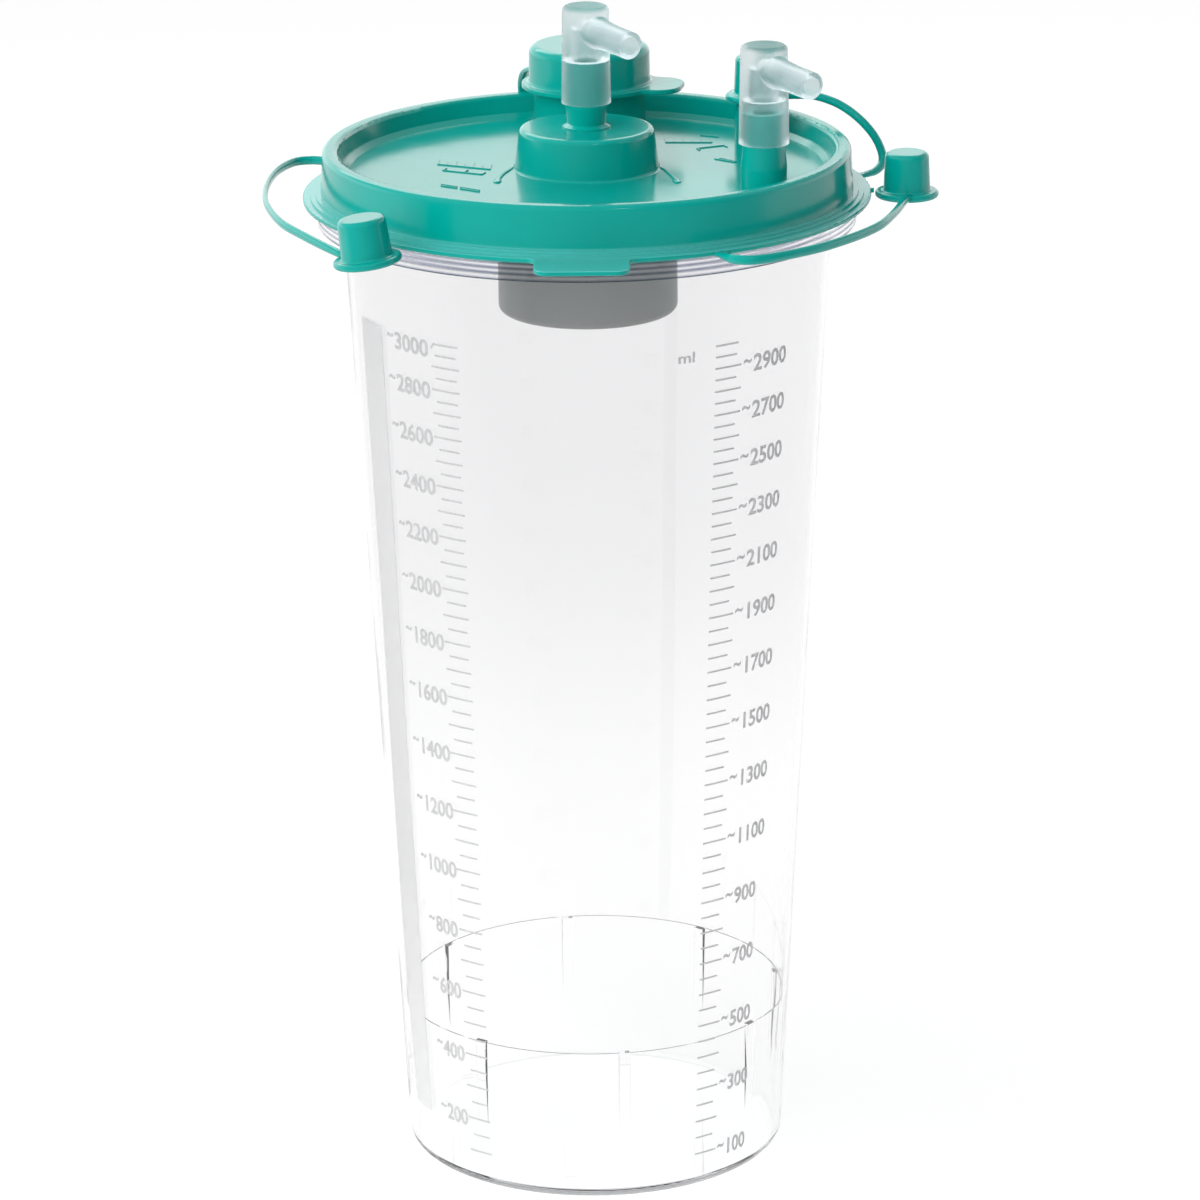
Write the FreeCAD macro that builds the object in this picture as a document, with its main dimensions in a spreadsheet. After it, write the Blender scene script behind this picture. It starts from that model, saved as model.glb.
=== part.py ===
import FreeCAD, Part
import math
import os
import re
import Sketcher
from FreeCAD import Placement, Rotation, Vector

# Suction canister of three litres: a clear tapered jar with a push-on green lid,
# two swivelling hose elbows, a pour spout, tethered caps and a float valve inside.
# Millimetres, with +Z up. The origin is the centre of the underside of the jar.

# Driving sizes. Every one is a cell of the sheet, and the rest follows from them.
SIZES = {
    # Jar
    "base_radius": 55.5,
    "top_radius": 69.8,
    "body_height": 280.3,
    "jar_wall": 1.6,
    "jar_floor": 2.6,
    "base_round": 3.0,
    "ledge_height": 45.9,
    "ledge_step": 0.4,
    "rib_inset": 1.4,
    "rib_width": 3.2,
    "rib_count": 8,
    "rib_azimuth": 8.7,
    # Collar and upstand at the mouth of the jar
    "collar_overhang": 7.1,
    "collar_height": 6.2,
    "collar_wall": 1.5,
    "collar_web": 1.6,
    "groove_depth": 0.3,
    "groove_width": 0.5,
    "groove_pitch": 1.5,
    "groove_count": 3,
    "upstand_offset": 3.95,
    "upstand_height": 12.3,
    # Lid
    "seat_gap": 0.05,
    "fit_gap": 0.1,
    "flange_overhang": 7.25,
    "flange_thick": 1.3,
    "step_rise": 0.6,
    "step_run": 1.5,
    "rim_wall": 1.35,
    "rim_draft": 0.7,
    "rim_thick": 2.0,
    "rim_headroom": 0.4,
    "well_wall": 1.15,
    "well_draft": 1.3,
    "well_depth": 6.4,
    "well_step": 0.6,
    "band_run": 1.6,
    "band_rise": 1.3,
    "lid_floor": 1.6,
    "plug_wall": 1.4,
    "rim_round": 1.6,
    "tab_width": 26.2,
    "tab_reach": 13.5,
    "tab_offset": -1.6,
    "tab_round": 4.0,
    "tab_blend": 3.0,
    "flange_round": 0.4,
    # Vacuum dome and the ports
    "dome_foot_radius": 20.6,
    "dome_top_radius": 19.1,
    "dome_height": 11.7,
    "dome_wall": 1.5,
    "dome_round": 1.6,
    "port_bore": 3.4,
    "vacuum_stem_radius": 6.05,
    "vacuum_stem_height": 19.2,
    "vacuum_stem_waist": 5.45,
    "stem_ring_radius": 6.85,
    "stem_ring_height": 1.2,
    "port_stem_radius": 5.2,
    "port_stem_height": 22.2,
    "port_foot_radius": 6.5,
    "port_neck_radius": 5.85,
    "port_shoulder": 13.5,
    "tandem_drop": 1.3,
    "port_drop": 6.0,
    "port_x_share": 0.6968,
    "port_y_share": 0.4372,
    # Elbows
    "swivel_gap": 0.05,
    "elbow_radius": 7.05,
    "elbow_draft": 0.45,
    "elbow_height": 27.9,
    "elbow_round": 1.6,
    "socket_lift": 7.1,
    "nozzle_drop": 6.6,
    "nozzle_length": 23.2,
    "nozzle_tip_radius": 3.9,
    "nozzle_root_radius": 4.3,
    "nozzle_flare": 0.4,
    "nozzle_straight": 9.0,
    "nozzle_round": 0.4,
    "nozzle_bore": 2.6,
    "nozzle_azimuth": -57.5,
    "nozzle_droop": 3.0,
    # Pour spout and its cap
    "spout_x": 1.0,
    "spout_inset": 7.5,
    "spout_radius": 16.4,
    "spout_wall": 1.4,
    "spout_height": 23.8,
    "spout_grip": 10.6,
    "spout_cap_wall": 1.3,
    "spout_cap_draft": 0.2,
    "spout_cap_crown": 1.7,
    "spout_flange_width": 2.05,
    "spout_flange_thick": 1.5,
    "spout_cap_round": 2.4,
    "spout_foot_round": 1.0,
    "spout_tab_reach": 8.5,
    "spout_tab_width": 18.5,
    "spout_tab_round": 6.8,
    "spout_tab_blend": 4.0,
    "spout_tab_azimuth": -12.0,
    # Small port caps
    "cap_gap": 0.3,
    "cap_wall": 1.45,
    "vacuum_cap_wall": 1.0,
    "cap_draft": 0.5,
    "cap_crown": 1.8,
    "cap_height": 13.1,
    "cap_flange_width": 2.4,
    "cap_flange_thick": 2.0,
    "cap_round": 1.6,
    "cap_foot_round": 0.8,
    "cap_sink": 1.4,
    "left_cap_out": 13.0,
    "left_cap_azimuth": -129.6,
    "left_cap_lean": -7.5,
    "right_cap_out": 10.2,
    "right_cap_azimuth": 0.3,
    # Tethers
    "tether_radius": 1.0,
    "tether_root_gap": 0.3,
    "tether_gap": 0.05,
    "nub_width": 1.6,
    # Float valve and its housing under the lid
    "housing_radius": 25.7,
    "housing_wall": 1.5,
    "housing_base": 1.6,
    "housing_height": 39.5,
    "housing_round": 2.0,
    "skirt_length": 7.0,
    "skirt_wall": 1.4,
    "seat_depth": 13.4,
    "seat_thick": 2.1,
    "seat_lip": 1.3,
    "seat_ring": 0.8,
    "orifice_radius": 5.5,
    "filter_gap": 0.1,
    "float_radius": 14.0,
    "float_wall": 1.2,
    "float_height": 14.0,
    "float_lift": 2.0,
    "seal_radius": 7.5,
    "seal_thick": 1.6,
    "guide_gap": 0.15,
    "guide_thick": 1.4,
    "guide_height": 20.0,
    "guide_count": 6,
    "inlet_radius": 2.4,
    "inlet_ring_radius": 8.5,
}

# Places that several pieces share, as rules on the sizes above
COLLAR_RADIUS = "(top_radius + collar_overhang)"
UPSTAND_RADIUS = "(top_radius + upstand_offset)"
FLANGE_RADIUS = "(" + UPSTAND_RADIUS + " + flange_overhang)"
WEB_BOTTOM = "(body_height + collar_height - collar_web)"
COLLAR_TOP = "(body_height + collar_height)"
JAR_TOP = "(body_height + collar_height + upstand_height)"
FLANGE_BOTTOM = "(" + COLLAR_TOP + " + seat_gap)"
FLANGE_TOP = "(" + FLANGE_BOTTOM + " + flange_thick)"
CHANNEL_TOP = "(" + JAR_TOP + " + rim_headroom)"
RIM_TOP = "(" + CHANNEL_TOP + " + rim_thick)"
FLOOR_TOP = "(" + RIM_TOP + " - well_depth)"
FLOOR_BOTTOM = "(" + FLOOR_TOP + " - lid_floor)"
CHANNEL_OUTER = "(" + UPSTAND_RADIUS + " + fit_gap)"
CHANNEL_INNER = "(" + UPSTAND_RADIUS + " - jar_wall - fit_gap)"
WELL_RADIUS = "(" + CHANNEL_INNER + " - well_wall)"
PORT_X = "(" + WELL_RADIUS + " * port_x_share)"
PORT_Y = "(" + WELL_RADIUS + " * port_y_share)"
SPOUT_Y = "(" + WELL_RADIUS + " - spout_radius - spout_inset)"
DOME_TOP = "(" + FLOOR_TOP + " + dome_height)"
SKIRT_RADIUS = "(housing_radius - housing_wall - swivel_gap)"
SKIRT_BOTTOM = "(" + FLOOR_BOTTOM + " - skirt_length)"
HOUSING_TOP = "(" + FLOOR_BOTTOM + " - cap_gap)"
HOUSING_BOTTOM = "(" + HOUSING_TOP + " - housing_height)"
SEAT_TOP = "(" + HOUSING_TOP + " - seat_depth + seat_thick)"
FLOAT_BOTTOM = "(" + HOUSING_BOTTOM + " + housing_base + float_lift + seat_gap)"
FLOAT_TOP = "(" + FLOAT_BOTTOM + " + float_height)"
PORT_SHOULDER = "(" + FLOOR_TOP + " + port_shoulder)"
TANDEM_SHOULDER = "(" + PORT_SHOULDER + " - tandem_drop)"
SPOUT_TOP = "(" + FLOOR_TOP + " + spout_height)"
SOCKET_DEPTH = "(vacuum_stem_height - socket_lift + swivel_gap)"
NOZZLE_HEIGHT = "(elbow_height - nozzle_drop)"

AXIS_RULE = "0"
TETHER_LEVEL = "(" + FLANGE_BOTTOM + " + flange_thick / 2)"
FREE_CAP_LEVEL = "(" + FLANGE_BOTTOM + " - cap_sink)"

# Routes of the straps of the open caps: azimuth in degrees and reach in flange radii
LEFT_ROUTE = [(150.5, 1.216), (166.0, 1.173), (183.0, 1.146), (199.0, 1.141), (215.0, 1.16)]
RIGHT_ROUTE = [(-66.5, 1.146), (-60.0, 1.183), (-45.0, 1.17), (-28.0, 1.143), (-12.0, 1.119)]
LEFT_ROOT = 150.0
RIGHT_ROOT = -66.0
# Straps of the seated caps: also the rise above the middle of the flange, in flange radii
TANDEM_ROUTE = [(25.5, 0.914, 0.267), (20.5, 1.031, 0.173), (17.0, 1.117, 0.043),
                (13.5, 1.099, 0.0)]
SPOUT_ROUTE = [(104.0, 0.846, 0.272), (104.8, 0.938, 0.241), (104.0, 1.019, 0.136),
               (102.5, 0.987, 0.062)]
# Where those two end on the flange: azimuth, and rules for the reach past it and the rise
TANDEM_ROOT = (12.6, "cap_gap", "0")
SPOUT_ROOT = (102.5, "-tether_radius - tether_gap", "flange_thick / 2 + tether_gap")

doc = FreeCAD.newDocument("SuctionCanister")
sheet = doc.addObject("Spreadsheet::Sheet", "Sizes")
rules = doc.addObject("Spreadsheet::Sheet", "Rules")
for row, (alias, number) in enumerate(SIZES.items(), start=1):
    sheet.set("A%d" % row, alias)
    sheet.set("B%d" % row, str(number))
    sheet.setAlias("B%d" % row, alias)
doc.recompute()

ALIAS = re.compile(r"[a-z_]+")


def bound(rule):
    """Returns a rule on the sizes with the sheet's name in front of each size."""
    return ALIAS.sub(lambda found: "Sizes." + found.group(), rule)


def value(rule):
    """Returns the number that a rule on the sizes gives."""
    rules.set("A1", "=" + bound(rule))
    rules.recompute()
    return float(rules.get("A1"))


def new_body(label):
    """Starts a sub-part made of features."""
    body = doc.addObject("PartDesign::Body", label)
    body.Label = label
    return body


def origin_item(body, role):
    """Finds a plane or an axis of a body's own origin."""
    for item in body.Origin.OriginFeatures:
        if item.Role == role:
            return item
    raise ValueError(role)


def sketch_on(body, name, role, shift=None, turn=None):
    """Puts an empty sketch on an origin plane, moved by rules along the plane's axes."""
    sketch = body.newObject("Sketcher::SketchObject", name)
    sketch.AttachmentSupport = [(origin_item(body, role), "")]
    sketch.MapMode = "FlatFace"
    if turn is not None:
        sketch.AttachmentOffset = Placement(Vector(0, 0, 0), turn)
    if shift is not None:
        for letter, rule in zip("xyz", shift):
            sketch.setExpression(".AttachmentOffset.Base." + letter, bound(rule))
    return sketch


def pin_corner(sketch, line, corner, place):
    """Ties the start of a line to the two rules of its corner."""
    ties = (("DistanceX", corner[0], place.x, -2), ("DistanceY", corner[1], place.y, -1))
    for kind, rule, number, axis in ties:
        if rule == AXIS_RULE:
            sketch.addConstraint(Sketcher.Constraint("PointOnObject", line, 1, axis))
            continue
        index = sketch.addConstraint(Sketcher.Constraint(kind, line, 1, number))
        sketch.setExpression("Constraints[%d]" % index, bound(rule))


def draw_outline(sketch, corners):
    """Draws a closed outline of straight edges through corners given as rules."""
    places = [Vector(value(across), value(up), 0) for across, up in corners]
    count = len(places)
    for line in range(count):
        sketch.addGeometry(Part.LineSegment(places[line], places[(line + 1) % count]), False)
    for line in range(count):
        ends = Sketcher.Constraint("Coincident", line, 2, (line + 1) % count, 1)
        sketch.addConstraint(ends)
    for line, corner in enumerate(corners):
        pin_corner(sketch, line, corner, places[line])


def turned(body, name, corners, centre=None, cut=False):
    """Turns an outline about a vertical axis: adds the solid or cuts it away."""
    shift = None
    if centre is not None:
        shift = (centre[0], "0", "-(" + centre[1] + ")")
    sketch = sketch_on(body, name + "Sketch", "XZ_Plane", shift)
    draw_outline(sketch, corners)
    kind = "PartDesign::Groove" if cut else "PartDesign::Revolution"
    feature = body.newObject(kind, name)
    feature.Profile = sketch
    feature.ReferenceAxis = (sketch, ["V_Axis"])
    feature.Angle = 360.0
    doc.recompute()
    return feature


def padded(body, name, corners, shift, height):
    """Raises a flat outline from its level by a height given as a rule."""
    sketch = sketch_on(body, name + "Sketch", "XY_Plane", shift)
    draw_outline(sketch, corners)
    feature = body.newObject("PartDesign::Pad", name)
    feature.Profile = sketch
    feature.setExpression("Length", bound(height))
    doc.recompute()
    return feature


def ring_edges(shape, radius, height, centre=(0.0, 0.0)):
    """Names the round edges with this radius, height and centre."""
    names = []
    for number, edge in enumerate(shape.Edges, start=1):
        curve = edge.Curve
        if not isinstance(curve, Part.Circle):
            continue
        middle = Vector(centre[0], centre[1], height)
        if curve.Center.distanceToPoint(middle) < 0.01 and abs(curve.Radius - radius) < 0.01:
            names.append("Edge%d" % number)
    return names


def upright_edges(shape, places):
    """Names the straight upright edges that stand at these places in plan."""
    names = []
    for number, edge in enumerate(shape.Edges, start=1):
        if not isinstance(edge.Curve, Part.Line) or abs(edge.Curve.Direction.z) < 0.999:
            continue
        spot = edge.Vertexes[0].Point
        for across, along in places:
            if math.hypot(spot.x - across, spot.y - along) < 0.01:
                names.append("Edge%d" % number)
    return names


def outline_edges(shape, level, reach):
    """Names the edges that lie flat at this level, further from the axis than this reach."""
    names = []
    for number, edge in enumerate(shape.Edges, start=1):
        box = edge.BoundBox
        if abs(box.ZMin - level) > 0.01 or abs(box.ZMax - level) > 0.01:
            continue
        spots = edge.discretize(5)
        if min(math.hypot(spot.x, spot.y) for spot in spots) > reach - 0.01:
            names.append("Edge%d" % number)
    return names


def rounded(body, name, rings, radius):
    """Rounds edges of the body's last feature with one radius."""
    base = body.Tip
    names = []
    for ring in rings:
        names += ring_edges(base.Shape, *ring)
    return fillet_names(body, name, base, names, radius)


def fillet_names(body, name, base, names, radius):
    """Rounds the named edges of a feature with one radius."""
    if not names:
        raise ValueError(name + " finds no edge")
    feature = body.newObject("PartDesign::Fillet", name)
    feature.Base = (base, names)
    feature.setExpression("Radius", bound(radius))
    doc.recompute()
    return feature


def polar_copies(body, name, feature, count):
    """Repeats a feature round the body's upright axis."""
    pattern = body.newObject("PartDesign::PolarPattern", name)
    pattern.Originals = [feature]
    pattern.Axis = (origin_item(body, "Z_Axis"), [""])
    pattern.Angle = 360.0
    pattern.setExpression("Occurrences", bound(count))
    body.Tip = pattern
    doc.recompute()
    return pattern


def polar(azimuth, reach, height):
    """Gives a point from its azimuth in degrees, reach and height."""
    turn = math.radians(azimuth)
    return Vector(reach * math.cos(turn), reach * math.sin(turn), height)


def smooth_path(places):
    """Joins straight runs by tangent arcs, each as large as its two runs allow."""
    edges = []
    start = places[0]
    for before, corner, after in zip(places, places[1:], places[2:]):
        come = (before - corner).normalize()
        go = (after - corner).normalize()
        half = (math.pi - come.getAngle(go)) / 2
        trim = 0.45 * min((before - corner).Length, (after - corner).Length)
        radius = trim / math.tan(half)
        middle = (come + go).normalize()
        crown = corner + middle * (radius / math.cos(half) - radius)
        first = corner + come * trim
        last = corner + go * trim
        edges.append(Part.LineSegment(start, first).toShape())
        edges.append(Part.Arc(first, crown, last).toShape())
        start = last
    edges.append(Part.LineSegment(start, places[-1]).toShape())
    return Part.Wire(edges)


def make_tether(label, places, round_end=False):
    """Sweeps a round strap along a route and stores it as a sub-part."""
    path = smooth_path(places)
    heading = (places[1] - places[0]).normalize()
    radius = value("tether_radius")
    section = Part.Wire([Part.Circle(places[0], heading, radius).toShape()])
    solid = path.makePipeShell([section], True, False)
    if round_end:
        solid = solid.fuse(Part.makeSphere(radius, places[0], -heading, 0, 90, 360))
    tether = doc.addObject("Part::Feature", label)
    tether.Label = label
    tether.Shape = solid
    return tether


def make_canister_body():
    """Clear jar: tapered wall, stacking ledge and ribs, collar and upstand."""
    body = new_body("canister_body")
    taper = "(top_radius - base_radius) / body_height"
    ledge_radius = "base_radius + " + taper + " * ledge_height - jar_wall"
    corners = [
        ("0", "0"),
        ("base_radius", "0"),
        ("top_radius", "body_height"),
        ("top_radius", WEB_BOTTOM),
        (COLLAR_RADIUS + " - collar_wall", WEB_BOTTOM),
        (COLLAR_RADIUS + " - collar_wall", "body_height"),
        (COLLAR_RADIUS, "body_height"),
    ]
    inner = COLLAR_RADIUS + " - groove_depth"
    for number in range(int(value("groove_count"))):
        low = "body_height + %d * groove_pitch" % (number + 1)
        corners.append((COLLAR_RADIUS, low))
        corners.append((inner, low))
        corners.append((inner, low + " + groove_width"))
        corners.append((COLLAR_RADIUS, low + " + groove_width"))
    corners += [
        (COLLAR_RADIUS, COLLAR_TOP),
        (UPSTAND_RADIUS, COLLAR_TOP),
        (UPSTAND_RADIUS, JAR_TOP),
        (UPSTAND_RADIUS + " - jar_wall", JAR_TOP),
        (UPSTAND_RADIUS + " - jar_wall", COLLAR_TOP),
        ("top_radius - jar_wall", COLLAR_TOP),
        ("top_radius - jar_wall", "body_height"),
        (ledge_radius, "ledge_height"),
        (ledge_radius + " - ledge_step", "ledge_height"),
        ("base_radius - jar_wall - ledge_step", "jar_floor"),
        ("0", "jar_floor"),
    ]
    turned(body, "JarWall", corners)

    # Stacking ribs below the ledge: nearly upright faces that die into the tapered wall
    turn = Rotation(Vector(0, 1, 0), value("rib_azimuth") - 90)
    sketch = sketch_on(body, "RibSketch", "XZ_Plane", None, turn)
    face = ledge_radius + " - ledge_step - rib_inset"
    draw_outline(sketch, [
        ("base_radius - jar_wall / 2 - ledge_step", "jar_floor / 2"),
        (ledge_radius + " + jar_wall / 2 - ledge_step", "ledge_height"),
        (face, "ledge_height"),
    ])
    rib = body.newObject("PartDesign::Pad", "Rib")
    rib.Profile = sketch
    rib.Midplane = True
    rib.setExpression("Length", bound("rib_width"))
    doc.recompute()
    polar_copies(body, "Ribs", rib, "rib_count")
    rounded(body, "BaseRound", [(value("base_radius"), 0.0)], "base_round")
    return body


def lid_corners():
    """Half section of the lid: dome, well, rim, flange, channel, plug and housing skirt."""
    band_outer = WELL_RADIUS + " - well_draft - well_step"
    ring_height = FLOOR_TOP + " + band_rise"
    rim_outer = CHANNEL_OUTER + " + rim_wall"
    rim_foot = rim_outer + " + rim_draft"
    return [
        ("0", DOME_TOP),
        ("dome_top_radius", DOME_TOP),
        ("dome_foot_radius", FLOOR_TOP),
        (band_outer + " - band_run", FLOOR_TOP),
        (band_outer, ring_height),
        (band_outer + " + well_step", ring_height),
        (WELL_RADIUS, RIM_TOP),
        (rim_outer, RIM_TOP),
        (rim_foot, FLANGE_TOP + " + 2 * step_rise"),
        (rim_foot + " + step_run", FLANGE_TOP + " + 2 * step_rise"),
        (rim_foot + " + step_run", FLANGE_TOP + " + step_rise"),
        (rim_foot + " + 2 * step_run", FLANGE_TOP + " + step_rise"),
        (rim_foot + " + 2 * step_run", FLANGE_TOP),
        (FLANGE_RADIUS, FLANGE_TOP),
        (FLANGE_RADIUS, FLANGE_BOTTOM),
        (CHANNEL_OUTER, FLANGE_BOTTOM),
        (CHANNEL_OUTER, CHANNEL_TOP),
        (CHANNEL_INNER, CHANNEL_TOP),
        (CHANNEL_INNER, FLANGE_BOTTOM + " + cap_gap"),
        (CHANNEL_INNER + " - plug_wall", FLANGE_BOTTOM + " + cap_gap"),
        (CHANNEL_INNER + " - plug_wall", FLOOR_BOTTOM),
        (SKIRT_RADIUS, FLOOR_BOTTOM),
        (SKIRT_RADIUS, SKIRT_BOTTOM),
        (SKIRT_RADIUS + " - skirt_wall", SKIRT_BOTTOM),
        (SKIRT_RADIUS + " - skirt_wall", FLOOR_BOTTOM),
        ("dome_foot_radius - dome_wall", FLOOR_BOTTOM),
        ("dome_top_radius - dome_wall", DOME_TOP + " - dome_wall"),
        ("0", DOME_TOP + " - dome_wall"),
    ]


def add_vacuum_stem(body):
    """Stem on the dome, with a waist above its root ring, and its bore."""
    top = DOME_TOP + " + vacuum_stem_height"
    turned(body, "VacuumStem", [
        ("0", DOME_TOP + " - dome_wall / 2"),
        ("stem_ring_radius", DOME_TOP + " - dome_wall / 2"),
        ("stem_ring_radius", DOME_TOP + " + stem_ring_height / 3"),
        ("vacuum_stem_waist", DOME_TOP + " + stem_ring_height"),
        ("vacuum_stem_radius", DOME_TOP + " + socket_lift - stem_ring_height"),
        ("vacuum_stem_radius", top),
        ("0", top),
    ])
    turned(body, "VacuumBore", [
        ("0", DOME_TOP + " - 2 * dome_wall"),
        ("port_bore", DOME_TOP + " - 2 * dome_wall"),
        ("port_bore", top + " + 1"),
        ("0", top + " + 1"),
    ], cut=True)


def add_port(body, name, side, shoulder):
    """Stem on the floor of the lid, with a shoulder, a drop tube below and its bore."""
    centre = (PORT_X, side + PORT_Y)
    top = FLOOR_TOP + " + port_stem_height"
    drop = FLOOR_BOTTOM + " - port_drop"
    turned(body, name + "Stem", [
        ("0", drop),
        ("port_neck_radius", drop),
        ("port_neck_radius", FLOOR_BOTTOM + " + lid_floor / 2"),
        ("port_foot_radius", FLOOR_BOTTOM + " + lid_floor / 2"),
        ("port_foot_radius", FLOOR_TOP + " + port_shoulder / 2"),
        ("port_neck_radius", shoulder),
        ("port_stem_radius", shoulder),
        ("port_stem_radius", top),
        ("0", top),
    ], centre)
    turned(body, name + "Bore", [
        ("0", drop + " - 1"),
        ("port_bore", drop + " - 1"),
        ("port_bore", top + " + 1"),
        ("0", top + " + 1"),
    ], centre, cut=True)


def add_spout(body):
    """Wide pour neck at the back of the lid and its bore."""
    centre = ("spout_x", SPOUT_Y)
    turned(body, "SpoutNeck", [
        ("0", FLOOR_BOTTOM + " + lid_floor / 2"),
        ("spout_radius", FLOOR_BOTTOM + " + lid_floor / 2"),
        ("spout_radius", SPOUT_TOP),
        ("0", SPOUT_TOP),
    ], centre)
    turned(body, "SpoutBore", [
        ("0", FLOOR_BOTTOM + " - 1"),
        ("spout_radius - spout_wall", FLOOR_BOTTOM + " - 1"),
        ("spout_radius - spout_wall", SPOUT_TOP + " + 1"),
        ("0", SPOUT_TOP + " + 1"),
    ], centre, cut=True)


def add_pull_tab(body):
    """Tongue at the front of the flange that the lid is prised off by."""
    reach = FLANGE_RADIUS + " + tab_reach"
    padded(body, "PullTab", [
        ("0", "0"),
        ("tab_width", "0"),
        ("tab_width", "tab_reach + 3 * flange_thick"),
        ("0", "tab_reach + 3 * flange_thick"),
    ], ("tab_offset - tab_width / 2", "-(" + reach + ")", FLANGE_BOTTOM), "flange_thick")
    left = value("tab_offset - tab_width / 2")
    right = left + value("tab_width")
    front = -value(reach)
    rim = value(FLANGE_RADIUS)
    names = upright_edges(body.Tip.Shape, [(left, front), (right, front)])
    fillet_names(body, "TabRound", body.Tip, names, "tab_round")
    corners = [(side, -math.sqrt(rim ** 2 - side ** 2)) for side in (left, right)]
    names = upright_edges(body.Tip.Shape, corners)
    fillet_names(body, "TabBlend", body.Tip, names, "tab_blend")
    for name, level in (("FlangeTop", FLANGE_TOP), ("FlangeUnder", FLANGE_BOTTOM)):
        edge = outline_edges(body.Tip.Shape, value(level), rim)
        fillet_names(body, name, body.Tip, edge, "flange_round")


def add_nub(body):
    """Small bridge on the flange that keeps the right cap in line."""
    length = "right_cap_out - port_stem_radius - swivel_gap - cap_wall - cap_flange_width"
    length += " - cap_gap"
    padded(body, "CapNub", [
        ("0", "0"),
        ("flange_thick + " + length, "nub_width / 3"),
        ("flange_thick + " + length, "2 * nub_width / 3"),
        ("0", "nub_width"),
    ], (FLANGE_RADIUS + " - flange_thick", "-nub_width / 2", FLANGE_BOTTOM), "flange_thick")


def make_lid():
    """Green lid, one moulding: rim, flange, dome, stems, spout, tab and inner skirts."""
    body = new_body("lid")
    turned(body, "LidShell", lid_corners())
    rim_outer = value(CHANNEL_OUTER + " + rim_wall")
    top = value(RIM_TOP)
    rings = [(rim_outer, top), (value(WELL_RADIUS), top)]
    rounded(body, "RimRound", rings, "rim_round")
    rounded(body, "DomeRound", [(value("dome_top_radius"), value(DOME_TOP))], "dome_round")
    rounded(body, "DomeFoot", [(value("dome_foot_radius"), value(FLOOR_TOP))], "dome_wall / 2")
    add_pull_tab(body)
    add_nub(body)
    add_vacuum_stem(body)
    add_port(body, "Patient", "-", PORT_SHOULDER)
    add_port(body, "Tandem", "", TANDEM_SHOULDER)
    add_spout(body)
    return body


def make_elbow(label, stem_radius, place, level):
    """Milky elbow: closed tube over a stem, with a tapered hose nozzle on its side."""
    body = new_body(label)
    turned(body, "Tube", [
        ("0", "0"),
        ("elbow_radius", "0"),
        ("elbow_radius - elbow_draft", "elbow_height"),
        ("0", "elbow_height"),
    ])
    crown = (value("elbow_radius - elbow_draft"), value("elbow_height"))
    rounded(body, "TubeRound", [crown], "elbow_round")
    tilt = Rotation(Vector(0, 0, 1), -value("nozzle_droop"))
    for name, cut in (("Nozzle", False), ("NozzleBore", True)):
        sketch = sketch_on(body, name + "Sketch", "XZ_Plane", ("0", NOZZLE_HEIGHT, "0"), tilt)
        outline = [
            ("0", "0"),
            ("nozzle_length", "0"),
            ("nozzle_length", "nozzle_tip_radius"),
            ("nozzle_length - nozzle_straight", "nozzle_tip_radius"),
            ("elbow_radius + 3 * nozzle_flare", "nozzle_root_radius"),
            ("elbow_radius - nozzle_flare", "nozzle_root_radius + nozzle_flare"),
            ("0", "nozzle_root_radius + nozzle_flare"),
        ]
        if cut:
            outline = [
                ("0", "0"),
                ("nozzle_length + 1", "0"),
                ("nozzle_length + 1", "nozzle_bore"),
                ("0", "nozzle_bore"),
            ]
        draw_outline(sketch, outline)
        kind = "PartDesign::Groove" if cut else "PartDesign::Revolution"
        feature = body.newObject(kind, name)
        feature.Profile = sketch
        feature.ReferenceAxis = (sketch, ["H_Axis"])
        feature.Angle = 360.0
        doc.recompute()
    droop = math.radians(value("nozzle_droop"))
    reach = value("nozzle_length")
    tip = (reach * math.cos(droop), 0.0)
    level_of_tip = value(NOZZLE_HEIGHT) - reach * math.sin(droop)
    ring = (value("nozzle_tip_radius"), level_of_tip, tip)
    rounded(body, "TipRound", [ring], "nozzle_round")
    turned(body, "Socket", [
        ("0", "-1"),
        (stem_radius + " + swivel_gap", "-1"),
        (stem_radius + " + swivel_gap", SOCKET_DEPTH),
        ("port_bore", SOCKET_DEPTH),
        ("port_bore", NOZZLE_HEIGHT),
        ("0", NOZZLE_HEIGHT),
    ], cut=True)
    body.Placement = Placement(Vector(0, 0, 0), Rotation(Vector(0, 0, 1), value("nozzle_azimuth")))
    for letter, rule in zip("xyz", (place[0], place[1], level)):
        body.setExpression(".Placement.Base." + letter, bound(rule))
    return body


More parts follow.
